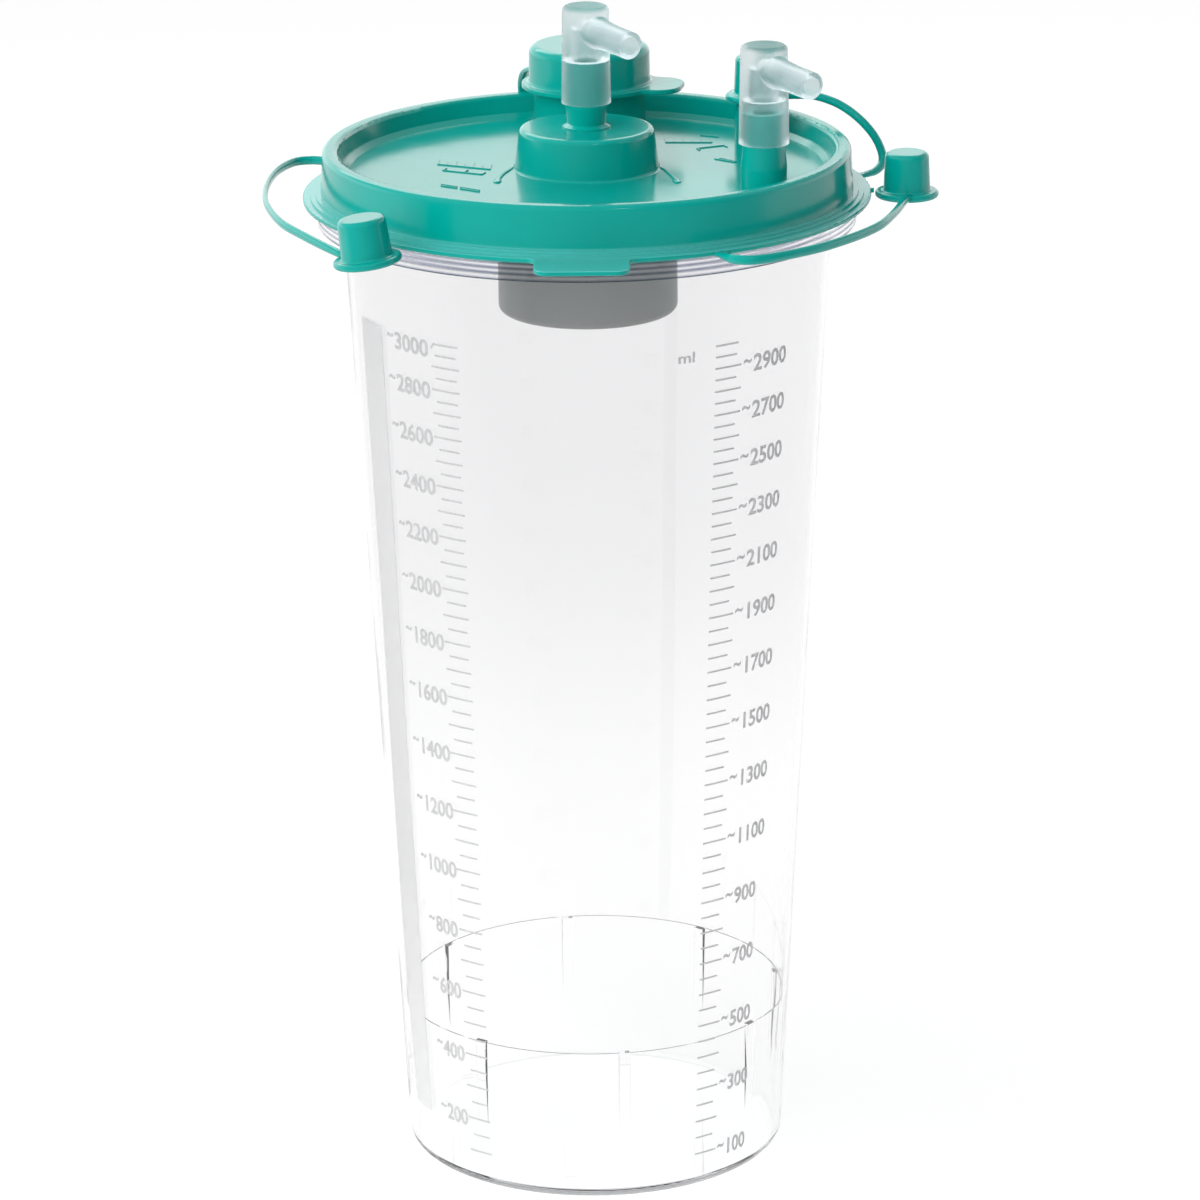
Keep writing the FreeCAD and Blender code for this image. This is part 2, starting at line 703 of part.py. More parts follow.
def make_spout_cap():
    """Lid of the pour spout: cup with a flange and a wide pull tongue."""
    body = new_body("spout_cap")
    inner = "spout_radius + swivel_gap"
    outer = inner + " + spout_cap_wall"
    height = "spout_grip + cap_gap + spout_cap_crown"
    turned(body, "Cup", [
        (inner, "0"),
        (outer + " + spout_flange_width", "0"),
        (outer + " + spout_flange_width", "spout_flange_thick"),
        (outer, "spout_flange_thick"),
        (outer + " - spout_cap_draft", height),
        ("0", height),
        ("0", "spout_grip + cap_gap"),
        (inner, "spout_grip + cap_gap"),
    ])
    crown = (value(outer + " - spout_cap_draft"), value(height))
    rounded(body, "CrownRound", [crown], "spout_cap_round")
    rounded(body, "CupFoot", [(value(outer), value("spout_flange_thick"))], "spout_foot_round")
    reach = outer + " + spout_flange_width + spout_tab_reach"
    padded(body, "Tongue", [
        ("0", "0"),
        (reach + " - (" + outer + ")", "0"),
        (reach + " - (" + outer + ")", "spout_tab_width"),
        ("0", "spout_tab_width"),
    ], (inner + " + spout_cap_wall / 2", "-spout_tab_width / 2", "0"), "spout_flange_thick")
    end = value(inner + " + spout_cap_wall / 2") + value(reach + " - (" + outer + ")")
    side = value("spout_tab_width") / 2
    names = upright_edges(body.Tip.Shape, [(end, -side), (end, side)])
    fillet_names(body, "TongueRound", body.Tip, names, "spout_tab_round")
    flange = value(outer + " + spout_flange_width")
    root = math.sqrt(flange ** 2 - side ** 2)
    names = upright_edges(body.Tip.Shape, [(root, -side), (root, side)])
    fillet_names(body, "TongueBlend", body.Tip, names, "spout_tab_blend")
    for name, level in (("FlangeTop", "spout_flange_thick"), ("FlangeUnder", "0")):
        edge = outline_edges(body.Tip.Shape, value(level), flange)
        fillet_names(body, name, body.Tip, edge, "flange_round")
    turn = Rotation(Vector(0, 0, 1), value("spout_tab_azimuth"))
    body.Placement = Placement(Vector(0, 0, 0), turn)
    level = SPOUT_TOP + " - spout_grip"
    for letter, rule in zip("xyz", ("spout_x", SPOUT_Y, level)):
        body.setExpression(".Placement.Base." + letter, bound(rule))
    return body


def make_port_cap(label, stem_radius, wall, place, level, lean=0.0):
    """Small cap for a port: tapered cup with a round flange."""
    body = new_body(label)
    inner = stem_radius + " + swivel_gap"
    outer = inner + " + " + wall
    turned(body, "Cup", [
        (inner, "0"),
        (outer + " + cap_flange_width", "0"),
        (outer + " + cap_flange_width", "cap_flange_thick"),
        (outer, "cap_flange_thick"),
        (outer + " - cap_draft", "cap_height"),
        ("0", "cap_height"),
        ("0", "cap_height - cap_crown"),
        (inner, "cap_height - cap_crown"),
    ])
    crown = (value(outer + " - cap_draft"), value("cap_height"))
    foot = (value(outer), value("cap_flange_thick"))
    edge = value(outer + " + cap_flange_width")
    rounded(body, "CapRound", [crown], "cap_round")
    rounded(body, "CapFoot", [foot], "cap_foot_round")
    rings = [(edge, value("cap_flange_thick")), (edge, 0.0)]
    rounded(body, "FlangeRound", rings, "0.44 * cap_flange_thick")
    body.Placement = Placement(Vector(*place), Rotation(Vector(0, 1, 0), lean))
    body.setExpression(".Placement.Base.z", bound(level))
    return body


def make_housing():
    """Grey cup under the lid that holds the float and the filter."""
    body = new_body("filter_housing")
    inner = "housing_radius - housing_wall"
    turned(body, "Cup", [
        ("0", HOUSING_BOTTOM),
        ("housing_radius", HOUSING_BOTTOM),
        ("housing_radius", HOUSING_TOP),
        (inner, HOUSING_TOP),
        (inner, HOUSING_TOP + " - seat_depth - filter_gap"),
        (inner + " - seat_lip", HOUSING_TOP + " - seat_depth - filter_gap"),
        (inner + " - seat_lip", HOUSING_BOTTOM + " + housing_base"),
        ("0", HOUSING_BOTTOM + " + housing_base"),
    ])
    ring = (value("housing_radius"), value(HOUSING_BOTTOM))
    rounded(body, "CupRound", [ring], "housing_round")

    # Guide ribs that stand round the float, with a foot that it rests on
    low = HOUSING_BOTTOM + " + housing_base"
    sketch = sketch_on(body, "GuideSketch", "XZ_Plane")
    draw_outline(sketch, [
        ("float_radius / 2 + seal_radius / 2", low + " - housing_base / 2"),
        (inner + " - seat_lip / 2", low + " - housing_base / 2"),
        (inner + " - seat_lip / 2", low + " + guide_height"),
        ("float_radius + guide_gap", low + " + guide_height"),
        ("float_radius + guide_gap", low + " + float_lift"),
        ("float_radius / 2 + seal_radius / 2", low + " + float_lift"),
    ])
    guide = body.newObject("PartDesign::Pad", "Guide")
    guide.Profile = sketch
    guide.Midplane = True
    guide.setExpression("Length", bound("guide_thick"))
    doc.recompute()
    polar_copies(body, "Guides", guide, "guide_count")

    # Inlets through the base, half a pitch away from the guide ribs
    sketch = sketch_on(body, "InletSketch", "XY_Plane", ("0", "0", HOUSING_BOTTOM))
    pitch = math.radians(180.0 / value("guide_count"))
    reach = value("inlet_ring_radius")
    middle = Vector(reach * math.cos(pitch), reach * math.sin(pitch), 0)
    sketch.addGeometry(Part.Circle(middle, Vector(0, 0, 1), value("inlet_radius")), False)
    index = sketch.addConstraint(Sketcher.Constraint("Radius", 0, value("inlet_radius")))
    sketch.setExpression("Constraints[%d]" % index, bound("inlet_radius"))
    sketch.addConstraint(Sketcher.Constraint("DistanceX", 0, 3, middle.x))
    sketch.addConstraint(Sketcher.Constraint("DistanceY", 0, 3, middle.y))
    inlet = body.newObject("PartDesign::Pocket", "Inlet")
    inlet.Profile = sketch
    inlet.Reversed = True
    inlet.setExpression("Length", bound("2 * housing_base"))
    doc.recompute()
    polar_copies(body, "Inlets", inlet, "guide_count")
    return body


def make_valve_seat():
    """Disc across the housing with the orifice that the float shuts."""
    body = new_body("valve_seat")
    outer = "housing_radius - housing_wall - swivel_gap"
    low = SEAT_TOP + " - seat_thick"
    turned(body, "Disc", [
        ("orifice_radius", low + " - seat_ring"),
        ("orifice_radius + seat_ring", low + " - seat_ring"),
        ("orifice_radius + 2 * seat_ring", low),
        (outer, low),
        (outer, SEAT_TOP),
        ("orifice_radius", SEAT_TOP),
    ])
    return body


def make_filter():
    """Porous disc between the valve seat and the skirt of the lid."""
    body = new_body("aerosol_filter")
    turned(body, "Disc", [
        ("0", SEAT_TOP + " + filter_gap"),
        (SKIRT_RADIUS + " - filter_gap", SEAT_TOP + " + filter_gap"),
        (SKIRT_RADIUS + " - filter_gap", SKIRT_BOTTOM + " - filter_gap"),
        ("0", SKIRT_BOTTOM + " - filter_gap"),
    ])
    return body


def make_float():
    """Upturned cup that rises with the liquid and shuts the orifice."""
    body = new_body("shutoff_float")
    turned(body, "Cup", [
        ("float_radius - float_wall", FLOAT_BOTTOM),
        ("float_radius", FLOAT_BOTTOM),
        ("float_radius", FLOAT_TOP),
        ("0", FLOAT_TOP),
        ("0", FLOAT_TOP + " - float_wall"),
        ("float_radius - float_wall", FLOAT_TOP + " - float_wall"),
    ])
    ring = (value("float_radius"), value(FLOAT_TOP))
    rounded(body, "FloatRound", [ring], "float_wall")
    return body


def make_float_seal():
    """Soft disc on top of the float."""
    body = new_body("float_seal")
    turned(body, "Disc", [
        ("0", FLOAT_TOP),
        ("seal_radius", FLOAT_TOP),
        ("seal_radius", FLOAT_TOP + " + seal_thick"),
        ("0", FLOAT_TOP + " + seal_thick"),
    ])
    return body


def free_cap_place(azimuth, out):
    """Gives the place in plan of a cap that hangs beside the lid."""
    spot = polar(value(azimuth), value(FLANGE_RADIUS + " + " + out), 0.0)
    return (spot.x, spot.y, 0.0)


def free_tether(label, root, route, cap, cap_edge):
    """Strap from the edge of the flange round to a cap that hangs beside the lid."""
    level = value(TETHER_LEVEL)
    rim = value(FLANGE_RADIUS)
    places = [polar(root, rim + value("tether_radius + tether_root_gap"), level)]
    for azimuth, share in route:
        places.append(polar(azimuth, rim * share, level))
    come = Vector(places[-1].x - cap[0], places[-1].y - cap[1], 0).normalize()
    low = value(FREE_CAP_LEVEL + " + cap_flange_thick / 2")
    places.append(Vector(cap[0], cap[1], low) + come * value(cap_edge + " + tether_gap"))
    return make_tether(label, places, round_end=True)


def seated_tether(label, root, route, centre, edge, level):
    """Strap from the flange of a seated cap over the rim down to the flange of the lid."""
    low = value(TETHER_LEVEL)
    rim = value(FLANGE_RADIUS)
    places = [polar(azimuth, rim * share, low + rim * rise) for azimuth, share, rise in route]
    azimuth, past, rise = root
    places.append(polar(azimuth, rim + value(past), low + value(rise)))
    middle = Vector(centre[0], centre[1], level)
    go = Vector(places[0].x - middle.x, places[0].y - middle.y, 0).normalize()
    start = middle + go * (edge + value("cap_gap"))
    return make_tether(label, [start] + places)


def make_sub_parts():
    """Builds every sub-part of the canister."""
    vacuum_level = DOME_TOP + " + socket_lift"
    port_level = PORT_SHOULDER + " + swivel_gap"
    tandem_level = TANDEM_SHOULDER + " + swivel_gap"
    left = free_cap_place("left_cap_azimuth", "left_cap_out")
    right = free_cap_place("right_cap_azimuth", "right_cap_out")
    left_edge = "vacuum_stem_radius + swivel_gap + vacuum_cap_wall + cap_flange_width"
    port_edge = "port_stem_radius + swivel_gap + cap_wall + cap_flange_width"
    tandem = (value(PORT_X), value(PORT_Y), 0.0)
    parts = [
        make_canister_body(),
        make_lid(),
        make_elbow("vacuum_elbow", "vacuum_stem_radius", ("0", "0"), vacuum_level),
        make_elbow("patient_elbow", "port_stem_radius", (PORT_X, "-" + PORT_Y), port_level),
        make_spout_cap(),
        make_port_cap("tandem_cap", "port_stem_radius", "cap_wall", tandem, tandem_level),
        make_port_cap("vacuum_port_cap", "vacuum_stem_radius", "vacuum_cap_wall", left,
                      FREE_CAP_LEVEL, value("left_cap_lean")),
        make_port_cap("patient_port_cap", "port_stem_radius", "cap_wall", right, FREE_CAP_LEVEL),
        free_tether("vacuum_cap_tether", LEFT_ROOT, LEFT_ROUTE, left, left_edge),
        free_tether("patient_cap_tether", RIGHT_ROOT, RIGHT_ROUTE, right, port_edge),
        make_housing(),
        make_valve_seat(),
        make_filter(),
        make_float(),
        make_float_seal(),
    ]
    parts.append(seated_tether(
        "tandem_cap_tether", TANDEM_ROOT, TANDEM_ROUTE, tandem, value(port_edge),
        value(tandem_level + " + cap_flange_thick / 2")))
    spout_edge = "spout_radius + swivel_gap + spout_cap_wall + spout_flange_width"
    parts.append(seated_tether(
        "spout_cap_tether", SPOUT_ROOT, SPOUT_ROUTE, (value("spout_x"), value(SPOUT_Y)),
        value(spout_edge), value(SPOUT_TOP + " - spout_grip + spout_flange_thick / 2")))
    return parts


def check_and_write(parts):
    """Stops on any failed object or unsound solid, then writes each sub-part."""
    doc.recompute()
    for thing in doc.Objects:
        if "Invalid" in thing.State or "Error" in thing.State:
            raise ValueError("%s failed: %s" % (thing.Name, thing.State))
    os.makedirs("parts", exist_ok=True)
    for part in parts:
        shape = part.Shape
        if shape.isNull() or not shape.isValid() or not shape.Solids:
            raise ValueError(part.Label + " has no sound solid")
        shape.exportStep("parts/" + part.Label + ".step")
        print("%-20s %d solid, %9.1f mm3" % (part.Label, len(shape.Solids), shape.Volume))


check_and_write(make_sub_parts())
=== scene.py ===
import math

import bmesh
import bpy
from mathutils import Matrix, Vector


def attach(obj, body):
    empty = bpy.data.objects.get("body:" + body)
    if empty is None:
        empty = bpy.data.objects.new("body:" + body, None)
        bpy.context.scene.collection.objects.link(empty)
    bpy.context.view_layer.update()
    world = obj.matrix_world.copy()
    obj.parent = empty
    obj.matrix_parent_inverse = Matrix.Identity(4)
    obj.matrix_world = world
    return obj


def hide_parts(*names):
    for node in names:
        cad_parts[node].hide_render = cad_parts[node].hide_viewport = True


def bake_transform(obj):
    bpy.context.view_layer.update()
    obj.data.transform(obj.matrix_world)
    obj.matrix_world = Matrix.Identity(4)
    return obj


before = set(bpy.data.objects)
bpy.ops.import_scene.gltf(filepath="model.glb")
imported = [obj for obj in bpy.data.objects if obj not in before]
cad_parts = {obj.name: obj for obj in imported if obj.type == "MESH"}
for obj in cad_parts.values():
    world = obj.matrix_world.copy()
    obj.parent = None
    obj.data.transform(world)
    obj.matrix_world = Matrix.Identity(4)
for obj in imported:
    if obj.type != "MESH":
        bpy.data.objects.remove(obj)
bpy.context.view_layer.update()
scene = bpy.context.scene

# The camera stands where the photograph was taken from: a long lens, level with the
# top of the elbows and looking down on the lid by 17.6 degrees, with a trace of roll.
CAMERA_PLACE = Vector((0.0, -1.53142, 0.65061))
CAMERA_PITCH = math.radians(17.582)
CAMERA_YAW = math.radians(0.0985)
CAMERA_ROLL = math.radians(-0.5159)
PHOTO_SIDE = 1200
FOCAL_PIXELS = 5504.9
SENSOR_WIDTH = 36.0

camera_data = bpy.data.cameras.new("photo_camera")
camera_data.sensor_width = SENSOR_WIDTH
camera_data.lens = FOCAL_PIXELS / PHOTO_SIDE * camera_data.sensor_width
camera_data.clip_start = 0.05
camera_data.clip_end = 20.0
camera = bpy.data.objects.new("photo_camera", camera_data)
camera_turn = (Matrix.Rotation(-CAMERA_YAW, 4, "Z")
               @ Matrix.Rotation(math.pi / 2 - CAMERA_PITCH, 4, "X")
               @ Matrix.Rotation(CAMERA_ROLL, 4, "Z"))
camera.matrix_world = Matrix.Translation(CAMERA_PLACE) @ camera_turn
scene.collection.objects.link(camera)
scene.camera = camera
scene.view_settings.view_transform = "Standard"

# Light runs a long way inside the clear wall of the jar, so it may turn there more often
# than usual. With fewer turns the foot of the jar gets a black line.
scene.cycles.glossy_bounces = 12
scene.cycles.max_bounces = 20

# The studio: a white room that the lens and clear plastic see as plain white. The soft
# key light comes from the left of the camera, and the pale backdrop behind the canister
# is what its top faces mirror.
ROOM_LIGHT = 0.09
KEY_LIGHT = 2.2
KEY_HEADING = (-0.643, -0.58, 0.5)
KEY_EDGE = 0.3
FRONT_GLOSS = 0.12
BACKDROP_GLOSS = 1.45
BACKDROP_TOP = 0.26
CEILING_GLOSS = 0.5
CEILING_FOOT = 0.5
SIDE_FADE = 0.35
WHITE = (1.0, 1.0, 1.0)


def add_node(tree, kind, **settings):
    """Adds a node and sets its properties."""
    node = tree.nodes.new(kind)
    for name, value in settings.items():
        setattr(node, name, value)
    return node


def ramp_between(tree, socket, low, high, start, end):
    """Turns a value into a soft rise or fall between two levels."""
    rise = add_node(tree, "ShaderNodeMapRange", interpolation_type="SMOOTHSTEP")
    for name, value in (("From Min", low), ("From Max", high), ("To Min", start), ("To Max", end)):
        rise.inputs[name].default_value = value
    tree.links.new(socket, rise.inputs["Value"])
    return rise.outputs["Result"]


world = bpy.data.worlds.new("studio")
scene.world = world
world.use_nodes = True
world.node_tree.nodes.clear()
room = world.node_tree
heading = add_node(room, "ShaderNodeTexCoord").outputs["Generated"]
split = add_node(room, "ShaderNodeSeparateXYZ")
room.links.new(heading, split.inputs[0])

facing_key = add_node(room, "ShaderNodeVectorMath", operation="DOT_PRODUCT")
facing_key.inputs[1].default_value = KEY_HEADING
room.links.new(heading, facing_key.inputs[0])
soft_light = add_node(room, "ShaderNodeBackground")
level = ramp_between(room, facing_key.outputs["Value"], KEY_EDGE, 1.0,
                     ROOM_LIGHT, ROOM_LIGHT + KEY_LIGHT)
room.links.new(level, soft_light.inputs["Strength"])

low_down = ramp_between(room, split.outputs["Z"], BACKDROP_TOP, CEILING_FOOT,
                        BACKDROP_GLOSS, CEILING_GLOSS)
behind = ramp_between(room, split.outputs["Y"], -SIDE_FADE, SIDE_FADE, 0.0, 1.0)
backdrop = add_node(room, "ShaderNodeMath", operation="MULTIPLY")
room.links.new(low_down, backdrop.inputs[0])
room.links.new(behind, backdrop.inputs[1])
mirrored_level = add_node(room, "ShaderNodeMath", operation="ADD")
mirrored_level.inputs[1].default_value = FRONT_GLOSS
room.links.new(backdrop.outputs[0], mirrored_level.inputs[0])
mirrored = add_node(room, "ShaderNodeBackground")
room.links.new(mirrored_level.outputs[0], mirrored.inputs["Strength"])

plain = add_node(room, "ShaderNodeBackground")
plain.inputs["Strength"].default_value = 1.0
path = add_node(room, "ShaderNodeLightPath")
seen = add_node(room, "ShaderNodeMath", operation="MAXIMUM")
room.links.new(path.outputs["Is Camera Ray"], seen.inputs[0])
room.links.new(path.outputs["Is Transmission Ray"], seen.inputs[1])
gloss_choice = add_node(room, "ShaderNodeMixShader")
room.links.new(path.outputs["Is Glossy Ray"], gloss_choice.inputs[0])
room.links.new(soft_light.outputs[0], gloss_choice.inputs[1])
room.links.new(mirrored.outputs[0], gloss_choice.inputs[2])
choice = add_node(room, "ShaderNodeMixShader")
room.links.new(seen.outputs[0], choice.inputs[0])
room.links.new(gloss_choice.outputs[0], choice.inputs[1])
room.links.new(plain.outputs[0], choice.inputs[2])
sky_out = add_node(room, "ShaderNodeOutputWorld")
room.links.new(choice.outputs[0], sky_out.inputs["Surface"])
for shader in (plain, mirrored, soft_light):
    shader.inputs["Color"].default_value = (*WHITE, 1.0)


def softbox(name, place, target, width, height, power):
    """Hangs a soft rectangular lamp that looks at a target."""
    lamp = bpy.data.lights.new(name, "AREA")
    lamp.shape = "RECTANGLE"
    lamp.size = width
    lamp.size_y = height
    lamp.energy = power
    holder = bpy.data.objects.new(name, lamp)
    holder.location = place
    aim = Vector(target) - Vector(place)
    holder.rotation_euler = aim.to_track_quat("-Z", "Y").to_euler()
    holder.visible_camera = False
    holder.visible_transmission = False
    scene.collection.objects.link(holder)
    return holder


softbox("lamp_behind", place=(-0.15, 1.0, 1.15), target=(0, 0, 0.3),
        width=1.3, height=0.75, power=7.5)
softbox("lamp_glint", place=(0.35, -1.2, 1.3), target=(0, 0, 0.29),
        width=0.1, height=0.1, power=0.6)

# The floor is matt white paper. The lens and the clear plastic see it lit up evenly, so
# that it runs into the white room, and the green lid mirrors only its far half.
FLOOR_HALF = 3.0
FLOOR_DROP = 0.0002
FLOOR_NEAR = -0.6
FLOOR_FAR = -0.1
FLOOR_GLOW = 0.73
FLOOR_PAPER = (0.9, 0.9, 0.9)
FLOOR_SHADE = (0.32, 0.32, 0.32)
floor_mesh = bpy.data.meshes.new("floor")
shape = bmesh.new()
bmesh.ops.create_grid(shape, x_segments=1, y_segments=1, size=FLOOR_HALF)
shape.to_mesh(floor_mesh)
shape.free()
floor = bpy.data.objects.new("floor", floor_mesh)
floor.location.z = -FLOOR_DROP
scene.collection.objects.link(floor)

floor_finish = bpy.data.materials.new("studio_floor")
floor_finish.use_nodes = True
tree = floor_finish.node_tree
tree.nodes.clear()
path = add_node(tree, "ShaderNodeLightPath")
seen = add_node(tree, "ShaderNodeMath", operation="MAXIMUM")
tree.links.new(path.outputs["Is Camera Ray"], seen.inputs[0])
tree.links.new(path.outputs["Is Transmission Ray"], seen.inputs[1])
split = add_node(tree, "ShaderNodeSeparateXYZ")
tree.links.new(add_node(tree, "ShaderNodeTexCoord").outputs["Object"], split.inputs[0])
mirrored = add_node(tree, "ShaderNodeMath", operation="MULTIPLY")
tree.links.new(path.outputs["Is Glossy Ray"], mirrored.inputs[0])
far_half = ramp_between(tree, split.outputs["Y"], FLOOR_NEAR, FLOOR_FAR, 0.0, 1.0)
tree.links.new(far_half, mirrored.inputs[1])
shown = add_node(tree, "ShaderNodeMath", operation="MAXIMUM")
tree.links.new(seen.outputs[0], shown.inputs[0])
tree.links.new(mirrored.outputs[0], shown.inputs[1])
matt = add_node(tree, "ShaderNodeBsdfDiffuse")
matt.inputs["Color"].default_value = (*FLOOR_PAPER, 1.0)
shade = add_node(tree, "ShaderNodeBsdfDiffuse")
shade.inputs["Color"].default_value = (*FLOOR_SHADE, 1.0)
glow = add_node(tree, "ShaderNodeEmission")
glow.inputs["Color"].default_value = (*WHITE, 1.0)
glow.inputs["Strength"].default_value = FLOOR_GLOW
both = add_node(tree, "ShaderNodeAddShader")
tree.links.new(shade.outputs[0], both.inputs[0])
tree.links.new(glow.outputs[0], both.inputs[1])
plain_paper = add_node(tree, "ShaderNodeMixShader")
tree.links.new(path.outputs["Is Glossy Ray"], plain_paper.inputs[0])
tree.links.new(matt.outputs[0], plain_paper.inputs[1])
tree.links.new(shade.outputs[0], plain_paper.inputs[2])
choice = add_node(tree, "ShaderNodeMixShader")
tree.links.new(shown.outputs[0], choice.inputs[0])
tree.links.new(plain_paper.outputs[0], choice.inputs[1])
tree.links.new(both.outputs[0], choice.inputs[2])
surface = add_node(tree, "ShaderNodeOutputMaterial")
tree.links.new(choice.outputs[0], surface.inputs["Surface"])
floor_mesh.materials.append(floor_finish)

# The jar is clear styrene, injection moulded in one piece with its collar. The wall is
# thin and water clear, and the thick collar, which holds more plastic, looks violet grey.
MM = 0.001
STYRENE_CLEAR = (0.99, 0.99, 0.99)
STYRENE_PAINTED_SHADE = (0.905, 0.905, 0.91)
STYRENE_THICK = (0.94, 0.94, 0.96)
STYRENE_GROOVE_SHADE = (0.40, 0.42, 0.50)
STYRENE_DEEP = (0.50, 0.51, 0.55)
STYRENE_SHADOW = (0.94, 0.95, 0.96)
STYRENE_DEPTH = 6.0
STYRENE_POLISH = 0.015
STYRENE_BEND = 1.5
UNSHADED_BELOW = 90 * MM
SHADED_ABOVE = 200 * MM
COLLAR_LOW = 280.3 * MM
COLLAR_HIGH = 286.5 * MM
COLLAR_EDGE = 0.05 * MM
COLLAR_LINE = 0.35 * MM
COLLAR_LINE_BLUR = 0.15 * MM
GROOVE_PITCH = 1.5 * MM
GROOVE_COUNT = 3
GROOVE_START = 0.05 * MM
GROOVE_END = 0.35 * MM
GROOVE_BLUR = 0.2 * MM


def plastic(name, colour, roughness):
    """Starts a plastic finish and returns the material, its tree and its shader."""
    material = bpy.data.materials.new(name)
    material.use_nodes = True
    shader = material.node_tree.nodes["Principled BSDF"]
    shader.inputs["Base Color"].default_value = (*colour, 1.0)
    shader.inputs["Roughness"].default_value = roughness
    return material, material.node_tree, shader


def object_place(tree):
    """Gives the place on the object, which stays with the piece when it moves."""
    return add_node(tree, "ShaderNodeTexCoord").outputs["Object"]


def unevenness(tree, size, detail=2.0):
    """Adds a soft noise with features of the given size."""
    noise = add_node(tree, "ShaderNodeTexNoise")
    noise.inputs["Scale"].default_value = 1.0 / size
    noise.inputs["Detail"].default_value = detail
    tree.links.new(object_place(tree), noise.inputs["Vector"])
    return noise.outputs["Fac"]


def rippled(tree, shader, size, depth, detail=2.0):
    """Lets the skin rise and fall slightly, as a moulded surface does."""
    bump = add_node(tree, "ShaderNodeBump")
    bump.inputs["Distance"].default_value = depth
    tree.links.new(unevenness(tree, size, detail), bump.inputs["Height"])
    tree.links.new(bump.outputs["Normal"], shader.inputs["Normal"])


def lets_lamps_through(tree, shader, tint):
    """Clears a see-through plastic for the rays that cast shadows."""
    rays = add_node(tree, "ShaderNodeLightPath")
    clear = add_node(tree, "ShaderNodeBsdfTransparent")
    clear.inputs["Color"].default_value = (*tint, 1.0)
    pick = add_node(tree, "ShaderNodeMixShader")
    tree.links.new(rays.outputs["Is Shadow Ray"], pick.inputs[0])
    tree.links.new(shader.outputs[0], pick.inputs[1])
    tree.links.new(clear.outputs[0], pick.inputs[2])
    tree.links.new(pick.outputs[0], tree.nodes["Material Output"].inputs["Surface"])


def dress(node, material):
    """Gives a CAD node its finish."""
    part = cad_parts[node]
    part.data.materials.clear()
    part.data.materials.append(material)


clear_styrene, tree, shader = plastic("clear_styrene", STYRENE_CLEAR, STYRENE_POLISH)
shader.inputs["Transmission Weight"].default_value = 1.0
shader.inputs["IOR"].default_value = STYRENE_BEND
split = add_node(tree, "ShaderNodeSeparateXYZ")
tree.links.new(object_place(tree), split.inputs[0])
# Painted shade: the wall's colour turns greyer from the middle up, where it lies in the shade of the
# lid, and stays clear towards the foot.
wall_shade = add_node(tree, "ShaderNodeMixRGB")
wall_shade.inputs["Color1"].default_value = (*STYRENE_CLEAR, 1.0)
wall_shade.inputs["Color2"].default_value = (*STYRENE_PAINTED_SHADE, 1.0)
tree.links.new(ramp_between(tree, split.outputs["Z"], UNSHADED_BELOW, SHADED_ABOVE, 0.0, 1.0),
               wall_shade.inputs["Fac"])
# The collar's grooves and the line at its foot get painted shade: narrow violet-grey bands in the
# colour stand for the dark lines the clear plastic shows there.
level = add_node(tree, "ShaderNodeMapRange")
level.inputs["From Min"].default_value = COLLAR_LOW
level.inputs["From Max"].default_value = COLLAR_HIGH
bands = add_node(tree, "ShaderNodeValToRGB")
tree.links.new(split.outputs["Z"], level.inputs["Value"])
tree.links.new(level.outputs["Result"], bands.inputs["Fac"])
ramp = bands.color_ramp
ramp.elements[0].position = 0.0
ramp.elements[0].color = (*STYRENE_GROOVE_SHADE, 1.0)
ramp.elements[1].position = 1.0
ramp.elements[1].color = (*STYRENE_THICK, 1.0)
marks = [(COLLAR_LINE, STYRENE_GROOVE_SHADE), (COLLAR_LINE + COLLAR_LINE_BLUR, STYRENE_THICK)]
for number in range(GROOVE_COUNT):
    low = (number + 1) * GROOVE_PITCH
    marks.append((low + GROOVE_START - GROOVE_BLUR, STYRENE_THICK))
    marks.append((low + GROOVE_START, STYRENE_GROOVE_SHADE))
    marks.append((low + GROOVE_END, STYRENE_GROOVE_SHADE))
    marks.append((low + GROOVE_END + GROOVE_BLUR, STYRENE_THICK))
for height, colour in marks:
    ramp.elements.new(height / (COLLAR_HIGH - COLLAR_LOW)).color = (*colour, 1.0)
at_collar = add_node(tree, "ShaderNodeMath", operation="GREATER_THAN")
at_collar.inputs[1].default_value = COLLAR_LOW - COLLAR_EDGE
tree.links.new(split.outputs["Z"], at_collar.inputs[0])
tone = add_node(tree, "ShaderNodeMixRGB")
tree.links.new(at_collar.outputs[0], tone.inputs["Fac"])
tree.links.new(wall_shade.outputs["Color"], tone.inputs["Color1"])
tree.links.new(bands.outputs["Color"], tone.inputs["Color2"])
tree.links.new(tone.outputs["Color"], shader.inputs["Base Color"])
rippled(tree, shader, size=45 * MM, depth=0.05 * MM, detail=1.0)
lets_lamps_through(tree, shader, STYRENE_SHADOW)
soaking = add_node(tree, "ShaderNodeVolumeAbsorption")
soaking.inputs["Color"].default_value = (*STYRENE_DEEP, 1.0)
soaking.inputs["Density"].default_value = STYRENE_DEPTH
tree.links.new(soaking.outputs[0], tree.nodes["Material Output"].inputs["Volume"])
dress("canister_body", clear_styrene)

